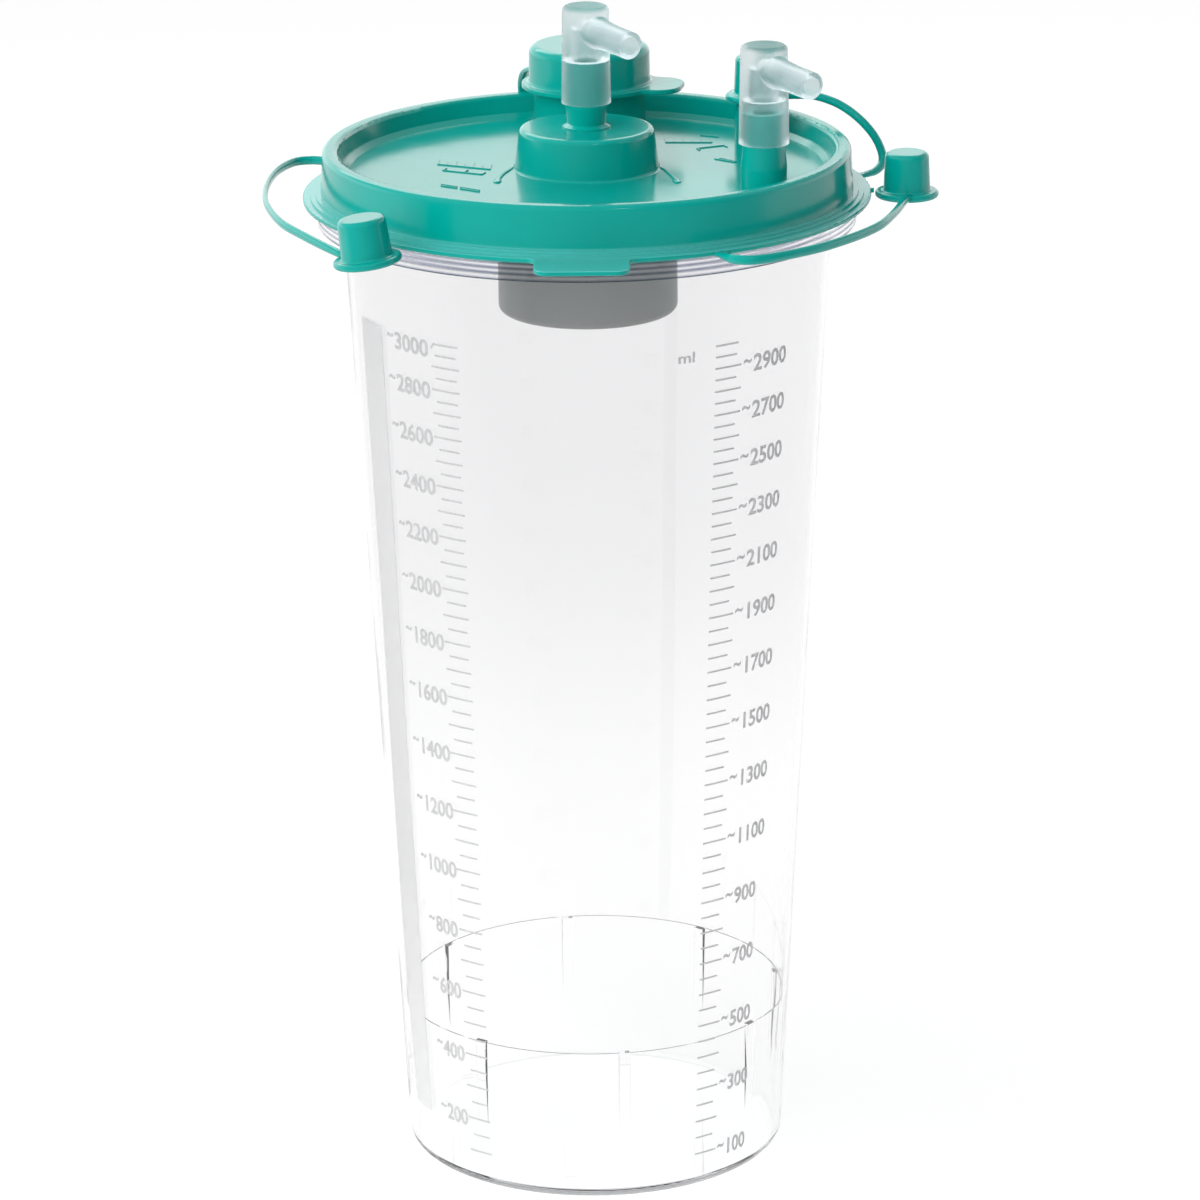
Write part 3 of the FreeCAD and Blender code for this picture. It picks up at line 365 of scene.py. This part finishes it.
# The scale is screen printed on the outside of the jar in one thin coat of pale grey
# ink: a tick every 50 ml in two columns, with plain numbers beside them. Lengths are in
# millimetres here, and places across the print are turns from the front, in degrees. A
# mark for so many litres stands at that number times the first rise less the rise loss.
JAR_FOOT_RADIUS = 55.5
JAR_NECK_RADIUS = 69.8
JAR_NECK_HEIGHT = 280.3
JAR_TAPER = (JAR_NECK_RADIUS - JAR_FOOT_RADIUS) / JAR_NECK_HEIGHT
FIRST_RISE = 106.10
RISE_LOSS = 6.78
INK_LIFT = 0.03
INK_THICK = 0.06
INK_GREY = (0.67, 0.67, 0.675)
INK_WORN = (0.76, 0.76, 0.765)
INK_MATT = 0.8
INK_BEND = 1.2
INK_SHEER = 0.5
WELD = 1e-7
TICK_STROKE = 0.55
TICK_STEP = 0.05
FIRST_TICK = 2
LITRES = 3.0
DIGIT_HEIGHT = 4.8
DIGIT_TURN = 2.97
DIGIT_EM = 0.70
DIGIT_ADVANCE = 0.5
DIGIT_WEIGHT = 0.022
DIGIT_CURVE_STEPS = 3
WAVE_HEIGHT = 4.1
WAVE_TURN = 2.15
WAVE_WEIGHT = 0.03


def on_jar(turn, height, lift):
    """Gives the place on the jar at a turn from the front, in degrees, and a height."""
    reach = JAR_FOOT_RADIUS + JAR_TAPER * height + lift
    angle = math.radians(turn)
    return Vector((reach * math.sin(angle), -reach * math.cos(angle), height)) * MM


def tick_height(litres):
    """Gives the height of a filling mark, lower per litre where the jar is wider."""
    return litres * (FIRST_RISE - RISE_LOSS * litres)


def inked_band(shape, edges, steps):
    """Lays a closed thin band of ink: rows of left turn, right turn and height."""
    columns = []
    for left, right, height in edges:
        row = []
        for step in range(steps + 1):
            turn = left + (right - left) * step / steps
            row.append([shape.verts.new(on_jar(turn, height, lift))
                        for lift in (INK_LIFT, INK_LIFT + INK_THICK)])
        columns.append(row)
    last = len(columns) - 1
    for one, two in zip(columns, columns[1:]):
        for a, b, c, d in zip(one, one[1:], two[1:], two):
            shape.faces.new((a[1], b[1], c[1], d[1]))
            shape.faces.new((d[0], c[0], b[0], a[0]))
        for side in (0, steps):
            corners = (one[side][0], one[side][1], two[side][1], two[side][0])
            shape.faces.new(corners if side == 0 else tuple(reversed(corners)))
    for row, flip in ((columns[0], False), (columns[last], True)):
        for a, b in zip(row, row[1:]):
            corners = (a[0], b[0], b[1], a[1])
            shape.faces.new(tuple(reversed(corners)) if flip else corners)


def inked_words(shape, words, left, middle, height, pitch, weight=DIGIT_WEIGHT):
    """Lays plain characters on the jar, each taking the same turn of the jar."""
    size = height / DIGIT_EM
    curve = bpy.data.curves.new("characters", "FONT")
    curve.body = words
    curve.size = size
    curve.offset = weight * size
    curve.extrude = INK_THICK / 2
    curve.resolution_u = DIGIT_CURVE_STEPS
    holder = bpy.data.objects.new("characters", curve)
    flat = bpy.data.meshes.new_from_object(holder)
    for point in flat.vertices:
        across, up, out = point.co
        turn = left + across / (DIGIT_ADVANCE * size) * pitch
        place = on_jar(turn, middle - height / 2 + up, INK_LIFT + INK_THICK / 2 + out)
        point.co = place
    shape.from_mesh(flat)
    bpy.data.objects.remove(holder)
    bpy.data.curves.remove(curve)
    bpy.data.meshes.remove(flat)


def finished(name, shape, material, smooth=True):
    """Turns a shape into a piece with one finish."""
    bmesh.ops.remove_doubles(shape, verts=shape.verts, dist=WELD)
    bmesh.ops.recalc_face_normals(shape, faces=shape.faces)
    for face in shape.faces:
        face.smooth = smooth
    mesh = bpy.data.meshes.new(name)
    shape.to_mesh(mesh)
    shape.free()
    mesh.materials.append(material)
    piece = bpy.data.objects.new(name, mesh)
    scene.collection.objects.link(piece)
    return piece


def between(top, foot, height):
    """Follows the slight slant of a printed column from its top to its foot."""
    return foot + (top - foot) * height / tick_height(LITRES)


ink, tree, shader = plastic("printing_ink", INK_GREY, INK_MATT)
shader.inputs["Transmission Weight"].default_value = INK_SHEER
shader.inputs["IOR"].default_value = INK_BEND
wear = add_node(tree, "ShaderNodeMixRGB")
wear.inputs["Color1"].default_value = (*INK_GREY, 1.0)
wear.inputs["Color2"].default_value = (*INK_WORN, 1.0)
tree.links.new(unevenness(tree, size=3 * MM, detail=3.0), wear.inputs["Fac"])
tree.links.new(wear.outputs["Color"], shader.inputs["Base Color"])

# Long ticks stand at every 100 ml and short ones between. The left column leans a little.
# The top tick is shorter, and on the left it ends in a small hook.
SHORT_LEFT = ((-38.6, -39.4), (-32.5, -33.6))
LONG_LEFT = ((-40.0, -41.0), (-31.8, -33.0))
TOP_LEFT = -38.7
SHORT_RIGHT = (31.0, 36.95)
LONG_RIGHT = (30.9, 38.4)
TOP_RIGHT = (30.9, 37.3)
TOP_HOOK_DROP = 1.5
TOP_HOOK = ((-40.1, -39.55), (-38.95, -38.4))

shape = bmesh.new()
for number in range(FIRST_TICK, round(LITRES / TICK_STEP) + 1):
    litres = number * TICK_STEP
    middle = tick_height(litres)
    low, high = middle - TICK_STROKE / 2, middle + TICK_STROKE / 2
    left = [between(top, foot, middle) for top, foot in (SHORT_LEFT if number % 2 else LONG_LEFT)]
    right = SHORT_RIGHT if number % 2 else LONG_RIGHT
    if litres > LITRES - TICK_STEP / 2:
        left[0] = TOP_LEFT
        right = TOP_RIGHT
    for near, far in (left, right):
        inked_band(shape, [(near, far, low), (near, far, high)], steps=5)
top = tick_height(LITRES)
inked_band(shape, [(*TOP_HOOK[0], top - TOP_HOOK_DROP),
                   (*TOP_HOOK[1], top + TICK_STROKE / 2)], steps=1)
scale_ticks = finished("scale_ticks", shape, ink, smooth=False)
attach(scale_ticks, "canister")

# Even hundreds stand left of the left column and odd ones right of the right column, each
# after a small wave sign, which says that the filling mark is about right.
EVEN_START = -52.4
EVEN_START_SHORT = -50.2
EVEN_SINK = 0.6
TOP_SINK = 1.7
EVEN_WAVE = (3.0, 1.5)
ODD_START = 42.2
ODD_SINK = 0.35
ODD_WAVE = (3.1, 1.3)
NUMBER_COUNT = 30

shape = bmesh.new()
for number in range(1, NUMBER_COUNT + 1):
    middle = tick_height(number / 10)
    words = str(number * 100)
    if number % 2 == 0:
        middle -= TOP_SINK if number == NUMBER_COUNT else EVEN_SINK
        start = EVEN_START if len(words) == 4 else EVEN_START_SHORT
        before, above = EVEN_WAVE
    else:
        middle -= ODD_SINK
        start = ODD_START
        before, above = ODD_WAVE
    inked_words(shape, words, start, middle, DIGIT_HEIGHT, DIGIT_TURN)
    inked_words(shape, "~", start - before, middle + above, WAVE_HEIGHT, WAVE_TURN, WAVE_WEIGHT)
inked_words(shape, "ml", left=21.0, middle=255.2, height=3.0, pitch=2.3)
scale_numbers = finished("scale_numbers", shape, ink, smooth=False)
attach(scale_numbers, "canister")

# The stripe at the left of the scale is printed in a paler ink, which wears thin towards
# the foot of the jar. Its rows are left turn, right turn and height.
STRIPE_GREY = (0.83, 0.83, 0.835)
STRIPE_PALE = (0.92, 0.92, 0.925)
STRIPE_SHEER = 0.4
STRIPE_THIN_BELOW = 10 * MM
STRIPE_FULL_ABOVE = 90 * MM
STRIPE_EDGES = [
    (-69.3, -59.2, 17.0), (-70.4, -59.25, 32.0), (-71.0, -59.3, 50.0), (-71.2, -59.2, 87.0),
    (-70.3, -58.9, 130.0), (-69.0, -58.6, 174.0), (-68.7, -58.2, 215.0), (-68.6, -57.8, 258.0),
]

stripe_ink, tree, shader = plastic("stripe_ink", STRIPE_GREY, INK_MATT)
shader.inputs["Transmission Weight"].default_value = STRIPE_SHEER
shader.inputs["IOR"].default_value = INK_BEND
split = add_node(tree, "ShaderNodeSeparateXYZ")
tree.links.new(object_place(tree), split.inputs[0])
fade = add_node(tree, "ShaderNodeMapRange")
fade.inputs["From Min"].default_value = STRIPE_THIN_BELOW
fade.inputs["From Max"].default_value = STRIPE_FULL_ABOVE
tree.links.new(split.outputs["Z"], fade.inputs["Value"])
tone = add_node(tree, "ShaderNodeMixRGB")
tone.inputs["Color1"].default_value = (*STRIPE_PALE, 1.0)
tone.inputs["Color2"].default_value = (*STRIPE_GREY, 1.0)
tree.links.new(fade.outputs["Result"], tone.inputs["Fac"])
tree.links.new(tone.outputs["Color"], shader.inputs["Base Color"])
shape = bmesh.new()
inked_band(shape, STRIPE_EDGES, steps=4)
side_stripe = finished("side_stripe", shape, stripe_ink, smooth=False)
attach(side_stripe, "canister")

# The lid is green polyethylene, moulded in one shot with its stems and its skirt.
# The skin is satin, with the slight ripple that a moulding takes as it cools.
LID_GREEN = (0.0, 0.385, 0.335)
LID_DEEP = (0.0, 0.345, 0.295)
LID_GLOSSY = 0.1
LID_SATIN = 0.2
LID_BEND = 1.5
lid_green, tree, shader = plastic("lid_polyethylene", LID_GREEN, LID_GLOSSY)
shader.inputs["IOR"].default_value = LID_BEND
cloud = add_node(tree, "ShaderNodeMixRGB")
cloud.inputs["Color1"].default_value = (*LID_DEEP, 1.0)
cloud.inputs["Color2"].default_value = (*LID_GREEN, 1.0)
tree.links.new(unevenness(tree, size=18 * MM, detail=3.0), cloud.inputs["Fac"])
tree.links.new(cloud.outputs["Color"], shader.inputs["Base Color"])
sheen = add_node(tree, "ShaderNodeMapRange")
sheen.inputs["To Min"].default_value = LID_GLOSSY
sheen.inputs["To Max"].default_value = LID_SATIN
tree.links.new(unevenness(tree, size=7 * MM, detail=4.0), sheen.inputs["Value"])
tree.links.new(sheen.outputs["Result"], shader.inputs["Roughness"])
rippled(tree, shader, size=12 * MM, depth=0.06 * MM)

# The flange and its steps get a painted highlight: a paler green on their top skin stands for the
# light their rounded glossy edges reflect.
HIGHLIGHT_GREEN = (0.07, 0.50, 0.46)
HIGHLIGHT_FROM = 287.6 * MM
FLANGE_TOP = 287.8 * MM
STEPS_TOP = 289.05 * MM
HIGHLIGHT_TO = 289.85 * MM
lid_highlighted = lid_green.copy()
lid_highlighted.name = "lid_polyethylene_painted_highlight"
tree = lid_highlighted.node_tree
shader = tree.nodes["Principled BSDF"]
place = add_node(tree, "ShaderNodeSeparateXYZ")
tree.links.new(object_place(tree), place.inputs["Vector"])
highlight_mask = add_node(tree, "ShaderNodeMath", operation="MULTIPLY")
tree.links.new(ramp_between(tree, place.outputs["Z"], HIGHLIGHT_FROM, FLANGE_TOP, 0.0, 1.0),
               highlight_mask.inputs[0])
tree.links.new(ramp_between(tree, place.outputs["Z"], STEPS_TOP, HIGHLIGHT_TO, 1.0, 0.0),
               highlight_mask.inputs[1])
highlight_tone = add_node(tree, "ShaderNodeMixRGB")
highlight_tone.inputs["Color2"].default_value = (*HIGHLIGHT_GREEN, 1.0)
tree.links.new(highlight_mask.outputs[0], highlight_tone.inputs["Fac"])
tree.links.new(shader.inputs["Base Color"].links[0].from_socket, highlight_tone.inputs["Color1"])
tree.links.new(highlight_tone.outputs["Color"], shader.inputs["Base Color"])
dress("lid", lid_highlighted)

# Moulded marks stand up from the floor of the lid: small comb scales and brackets of
# plain bars beside the ports. Places are in millimetres, across and then to the back.
FLOOR_LEVEL = 294.8
MARK_WIDE = 0.5
MARK_HIGH = 0.3
MARK_ROOT = 0.1
MARK_TOP_SHARE = 0.32
SHORT_COMB_TICK = 0.62


def raised_bar(shape, start, end):
    """Stands a small bar with sloping sides on the floor of the lid."""
    start, end = Vector((*start, 0.0)), Vector((*end, 0.0))
    along = (end - start).normalized()
    side = Vector((-along.y, along.x, 0.0))
    rings = []
    for level, share in ((FLOOR_LEVEL - MARK_ROOT, 0.5), (FLOOR_LEVEL + MARK_HIGH, MARK_TOP_SHARE)):
        rise = Vector((0, 0, level))
        out = side * share * MARK_WIDE
        grow = along * (share - 0.5) * MARK_WIDE
        rings.append([shape.verts.new((place + rise) * MM) for place in (
            start - out - grow, end - out + grow, end + out + grow, start + out - grow)])
    low, top = rings
    shape.faces.new(reversed(low))
    shape.faces.new(top)
    for a in range(4):
        b = (a + 1) % 4
        shape.faces.new((low[a], low[b], top[b], top[a]))


def along_line(start, end, share):
    """Gives the place at a share of the way between two places."""
    return tuple(a + (b - a) * share for a, b in zip(start, end))


def comb_scale(shape, start, end, rise, count):
    """Builds a base bar with upright ticks of two lengths."""
    raised_bar(shape, start, end)
    for number in range(count):
        foot = along_line(start, end, number / (count - 1))
        reach = 1.0 if number % 2 == 0 else SHORT_COMB_TICK
        raised_bar(shape, foot, (foot[0] + rise[0] * reach, foot[1] + rise[1] * reach))


shape = bmesh.new()
comb_scale(shape, (-42.5, 4.3), (-27.5, -2.6), (0.3, 6.0), 7)
raised_bar(shape, (-40.9, -3.3), (-29.7, -8.8))
raised_bar(shape, (-40.9, -3.3), (-39.9, -0.9))
raised_bar(shape, (-29.7, -8.8), (-28.8, -6.4))
raised_bar(shape, (-35.0, -6.2), (-33.8, -3.2))
for shift in (0.0, 1.7):
    raised_bar(shape, (-41.0, -20.6 - shift), (-36.4, -23.8 - shift))
    raised_bar(shape, (-35.6, -24.4 - shift), (-30.0, -28.4 - shift))
comb_scale(shape, (23.0, 29.7), (36.3, 29.1), (-0.3, 5.2), 6)
raised_bar(shape, (33.1, 38.4), (38.4, 36.0))
raised_bar(shape, (31.8, 21.5), (39.7, 25.1))
raised_bar(shape, (31.8, 21.5), (32.6, 19.3))
raised_bar(shape, (39.7, 25.1), (40.6, 22.9))
for shift in (0.0, 1.9, 3.8):
    raised_bar(shape, (38.0 + shift, 8.6 - shift), (43.8 + shift, 3.9 - shift))
raised_bar(shape, (42.3, 3.3), (36.6, 8.0))
lid_marks = finished("lid_marks", shape, lid_green, smooth=False)
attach(lid_marks, "lid")


# Two slim ribs of teardrop shape lie on the floor of the lid, left and right of the dome.
# Each starts thin at the dome and ends in a rounded drop. Rows are x, y and half width.
RIB_HEIGHT = 0.45
LEFT_RIB = [
    (-20.6, 1.6, 0.1), (-20.9, -0.2, 0.3), (-22.1, -4.1, 0.4), (-23.8, -9.0, 0.55),
    (-25.0, -14.6, 0.9), (-25.3, -17.6, 1.25), (-25.2, -19.0, 0.9), (-25.1, -19.5, 0.1),
]
RIGHT_RIB = [
    (20.2, -0.9, 0.1), (20.7, -2.0, 0.3), (21.9, -4.7, 0.4), (23.5, -11.0, 0.55),
    (24.9, -16.8, 0.9), (25.3, -19.7, 1.25), (25.4, -21.1, 0.9), (25.4, -21.6, 0.1),
]


def smooth_line(stations, pieces):
    """Follows stations, each a place and its two half sizes, as one smooth line."""
    line = []
    last = len(stations) - 1
    for number in range(last):
        near = [stations[min(max(number + step, 0), last)] for step in (-1, 0, 1, 2)]
        for piece in range(pieces):
            t = piece / pieces
            weights = ((-t + 2 * t ** 2 - t ** 3) / 2, (2 - 5 * t ** 2 + 3 * t ** 3) / 2,
                       (t + 4 * t ** 2 - 3 * t ** 3) / 2, (-t ** 2 + t ** 3) / 2)
            line.append([sum(weight * station[axis] for weight, station in zip(weights, near))
                         for axis in range(5)])
    line.append(list(stations[last]))
    return line


def sweep(shape, line, upward, sides=16):
    """Sweeps an oval section along a line and closes its ends."""
    places = [Vector(station[:3]) for station in line]
    last = len(places) - 1
    upward = Vector(upward)
    rings = []
    for index, place in enumerate(places):
        ahead = (places[min(index + 1, last)] - places[max(index - 1, 0)]).normalized()
        upward = (upward - ahead * upward.dot(ahead)).normalized()
        side = ahead.cross(upward)
        half_side, half_up = line[index][3:]
        ring = []
        for corner in range(sides):
            turn = 2 * math.pi * corner / sides
            out = side * half_side * math.cos(turn) + upward * half_up * math.sin(turn)
            ring.append(shape.verts.new((place + out) * MM))
        rings.append(ring)
    for one, two in zip(rings, rings[1:]):
        for a in range(sides):
            b = (a + 1) % sides
            shape.faces.new((one[a], one[b], two[b], two[a]))
    shape.faces.new(reversed(rings[0]))
    shape.faces.new(rings[-1])


shape = bmesh.new()
for rib in (LEFT_RIB, RIGHT_RIB):
    stations = [(x, y, FLOOR_LEVEL, wide, min(wide, RIB_HEIGHT)) for x, y, wide in rib]
    sweep(shape, smooth_line(stations, pieces=5), upward=(0, 0, 1), sides=12)
lid_ribs = finished("lid_ribs", shape, lid_green)
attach(lid_ribs, "lid")

# The four caps are moulded with the lid, from the same green polyethylene. Two sit on
# their ports, and two hang open on straps beside the lid.
for node in ("spout_cap", "tandem_cap", "vacuum_port_cap", "patient_port_cap"):
    dress(node, lid_green)

# Each strap is a thin band of the same plastic, moulded with the lid and its cap. It
# flares into the flange at its root, bends in a loop, and ends in the cap's flange. A row
# is its place, x, y and height, then its half width and half thickness, in millimetres.


def strap(name, node, stations, upward):
    """Builds a strap that bends from the lid to its cap."""
    shape = bmesh.new()
    sweep(shape, smooth_line(stations, pieces=10), upward)
    piece = finished(name, shape, lid_green)
    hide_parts(node)
    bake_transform(piece)
    return piece


strap("vacuum_cap_strap", "vacuum_cap_tether", [
    (-68.6, 39.2, 287.1, 3.4, 0.6), (-71.0, 40.7, 287.1, 2.3, 0.8), (-73.4, 42.1, 287.0, 1.2, 1.1),
    (-76.5, 44.0, 287.0, 0.85, 1.3), (-81.0, 45.2, 287.0, 0.8, 1.3),
    (-85.9, 42.0, 287.1, 0.8, 1.3), (-90.0, 30.0, 287.2, 0.8, 1.3),
    (-91.8, 12.0, 287.4, 0.8, 1.3), (-91.4, -6.0, 287.6, 0.8, 1.3),
    (-89.2, -21.0, 287.8, 0.8, 1.3), (-85.2, -36.5, 287.9, 0.8, 1.3),
    (-79.6, -48.6, 287.8, 0.8, 1.3), (-73.4, -59.6, 287.4, 0.85, 1.25),
    (-68.4, -66.6, 286.8, 1.1, 1.15), (-65.6, -69.2, 286.4, 1.4, 0.9),
], (0, 0, 1))
strap("patient_cap_strap", "patient_cap_tether", [
    (36.6, -71.6, 287.1, 2.6, 0.6), (37.0, -74.8, 287.2, 2.0, 0.8), (37.7, -78.2, 287.5, 1.3, 1.1),
    (39.3, -81.6, 287.8, 1.0, 1.35), (43.2, -83.6, 287.9, 0.95, 1.35),
    (47.6, -82.5, 287.9, 0.95, 1.35), (52.4, -79.5, 287.9, 0.95, 1.35),
    (57.9, -75.3, 287.9, 0.95, 1.35), (64.8, -69.0, 287.9, 0.95, 1.35),
    (72.1, -60.1, 287.9, 0.95, 1.35), (77.6, -51.6, 287.8, 0.95, 1.35),
    (82.2, -42.5, 287.8, 0.95, 1.35), (86.5, -28.0, 287.6, 1.0, 1.3),
    (89.3, -15.5, 287.3, 1.1, 1.25), (90.6, -9.0, 287.0, 1.3, 1.15), (91.0, -6.6, 286.8, 1.4, 0.9),
], (0, 0, 1))
strap("spout_cap_strap", "spout_cap_tether", [
    (-17.2, 77.4, 287.4, 2.3, 1.0), (-17.3, 78.4, 288.6, 2.1, 0.95), (-17.6, 79.7, 291.4, 1.95, 0.9),
    (-18.1, 80.6, 296.0, 1.9, 0.9), (-18.6, 79.4, 301.4, 1.9, 0.9),
    (-18.0, 75.2, 305.9, 1.9, 0.9), (-16.2, 69.6, 308.5, 1.9, 0.9),
    (-13.2, 63.6, 308.8, 1.9, 0.85), (-10.8, 60.2, 308.7, 1.9, 0.7),
], (-0.2, 0.98, 0.0))
strap("tandem_cap_strap", "tandem_cap_tether", [
    (75.9, 17.2, 287.2, 0.55, 2.4), (78.2, 17.8, 287.2, 0.7, 2.0), (80.9, 19.3, 287.4, 0.9, 1.5),
    (83.6, 21.6, 287.9, 1.15, 1.3), (85.4, 24.4, 289.4, 1.3, 1.25),
    (85.3, 26.0, 292.5, 1.35, 1.2), (83.0, 26.8, 297.2, 1.35, 1.2),
    (78.6, 28.0, 302.0, 1.35, 1.2), (72.8, 29.9, 305.8, 1.35, 1.2),
    (66.2, 31.2, 307.9, 1.3, 1.2), (60.6, 31.3, 308.2, 1.15, 1.2),
    (57.8, 31.2, 308.1, 0.8, 1.2),
], (0.0, 1.0, 0.0))

# The elbows are soft milky polyethylene, thin enough for the green stems to show
# through. They are push fits on the stems and turn there.
ELBOW_MILK = (0.745, 0.805, 0.815)
ELBOW_SHADOW = (0.82, 0.88, 0.9)
ELBOW_FROST = 0.44
ELBOW_FROST_MOST = 0.56
ELBOW_SHEER = 0.97
ELBOW_BEND = 1.22
milky, tree, shader = plastic("milky_polyethylene", ELBOW_MILK, ELBOW_FROST)
shader.inputs["Transmission Weight"].default_value = ELBOW_SHEER
shader.inputs["IOR"].default_value = ELBOW_BEND
frost = add_node(tree, "ShaderNodeMapRange")
frost.inputs["To Min"].default_value = ELBOW_FROST
frost.inputs["To Max"].default_value = ELBOW_FROST_MOST
tree.links.new(unevenness(tree, size=5 * MM, detail=3.0), frost.inputs["Value"])
tree.links.new(frost.outputs["Result"], shader.inputs["Roughness"])
rippled(tree, shader, size=6 * MM, depth=0.03 * MM)
lets_lamps_through(tree, shader, ELBOW_SHADOW)
for node in ("vacuum_elbow", "patient_elbow"):
    dress(node, milky)

# The float housing is a grey polypropylene cup that clips on the skirt under the lid.
# Its matt skin is spark eroded in the tool.
HOUSING_GREY = (0.34, 0.35, 0.345)
HOUSING_MATT = 0.4
grey, tree, shader = plastic("housing_polypropylene", HOUSING_GREY, HOUSING_MATT)
rippled(tree, shader, size=0.8 * MM, depth=0.03 * MM, detail=4.0)
dress("filter_housing", grey)

# Inside it: the seat with its orifice and the float are white polypropylene.
NATURAL_WHITE = (0.72, 0.72, 0.7)
NATURAL_MATT = 0.45
white, tree, shader = plastic("white_polypropylene", NATURAL_WHITE, NATURAL_MATT)
rippled(tree, shader, size=1.2 * MM, depth=0.02 * MM, detail=3.0)
for node in ("valve_seat", "shutoff_float"):
    dress(node, white)

# The aerosol filter is a disc of bonded fibres, cut from sheet.
FIBRE_LIGHT = (0.84, 0.83, 0.79)
FIBRE_DARK = (0.60, 0.59, 0.55)
FIBRE_MATT = 0.95
fibres, tree, shader = plastic("filter_fibres", FIBRE_LIGHT, FIBRE_MATT)
felt = add_node(tree, "ShaderNodeMixRGB")
felt.inputs["Color1"].default_value = (*FIBRE_DARK, 1.0)
felt.inputs["Color2"].default_value = (*FIBRE_LIGHT, 1.0)
tree.links.new(unevenness(tree, size=0.5 * MM, detail=6.0), felt.inputs["Fac"])
tree.links.new(felt.outputs["Color"], shader.inputs["Base Color"])
rippled(tree, shader, size=0.4 * MM, depth=0.15 * MM, detail=6.0)
dress("aerosol_filter", fibres)

# The seal on top of the float is a disc of soft black rubber.
RUBBER_BLACK = (0.03, 0.03, 0.032)
RUBBER_MATT = 0.65
rubber, tree, shader = plastic("seal_rubber", RUBBER_BLACK, RUBBER_MATT)
rippled(tree, shader, size=0.7 * MM, depth=0.03 * MM, detail=4.0)
dress("float_seal", rubber)
